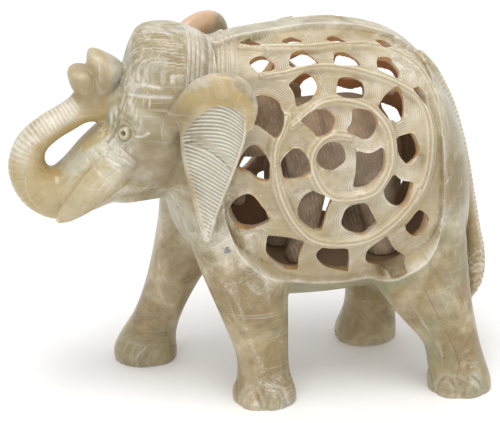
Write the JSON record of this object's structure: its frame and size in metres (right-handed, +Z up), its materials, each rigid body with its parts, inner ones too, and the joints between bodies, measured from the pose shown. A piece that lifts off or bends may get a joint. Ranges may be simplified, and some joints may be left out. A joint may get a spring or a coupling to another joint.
{
  "type": "openwork stone elephant figurine",
  "caption": "Carved stone elephant with a raised curled trunk and pierced scrollwork flanks, hollow, with a small elephant standing inside.",
  "frame": {"origin": "middle of the bounding box at the soles, z = 0 is the plane it stands on", "axes": "+Z up, the head faces -X, the flank seen from the front of the picture is on -Y"},
  "size_m": [0.1252, 0.0536, 0.1007],
  "materials": {
    "pale_soapstone": "hand-polished pale green-grey soapstone",
    "raw_soapstone": "unpolished, scraper marks left"
  },
  "bodies": {
    "root": {"elephant": "pale_soapstone", "inner_elephant": "raw_soapstone"}
  },
  "joints": []
}
